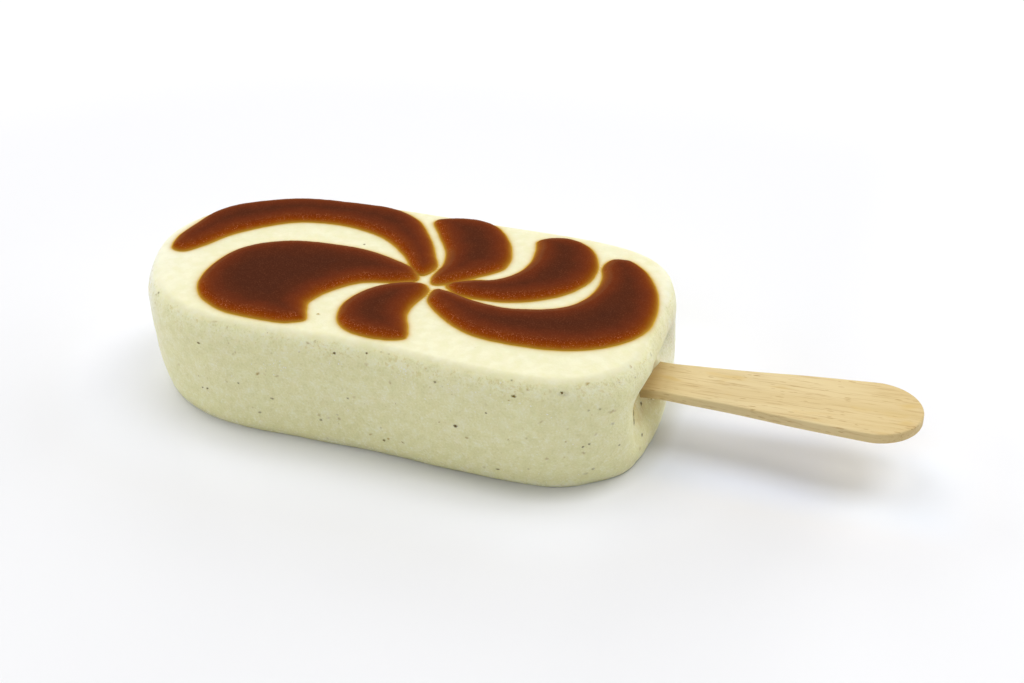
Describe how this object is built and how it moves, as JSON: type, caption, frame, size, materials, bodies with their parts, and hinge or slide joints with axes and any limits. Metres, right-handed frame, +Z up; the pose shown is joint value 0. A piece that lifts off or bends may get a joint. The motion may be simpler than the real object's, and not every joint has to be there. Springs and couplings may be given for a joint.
{
  "type": "ice cream bar",
  "caption": "Vanilla ice cream bar on a flat wooden stick, lying down, with a pinwheel of domed caramel sauce petals on its top face.",
  "frame": {"origin": "middle of the underside of the whole object's bounding box, on the surface that the bar lies on", "axes": "+X along the bar towards the stick's end, +Y across the bar, +Z up out of the face with the sauce"},
  "size_m": [0.1542, 0.055, 0.0257],
  "materials": {
    "ice_cream": "soft matt frozen cream with dark and ochre vanilla specks",
    "sauce": "deep brown caramel sauce, amber where it is thin, lightly frosted",
    "wood": "pale unvarnished wood with fine grain along the stick"
  },
  "bodies": {
    "root": {"ice_cream_body": "ice_cream", "stick": "wood", "sauce_petal_1": "sauce", "sauce_petal_2": "sauce", "sauce_petal_3": "sauce", "sauce_petal_4": "sauce", "sauce_petal_5": "sauce", "sauce_petal_6": "sauce"}
  },
  "joints": []
}
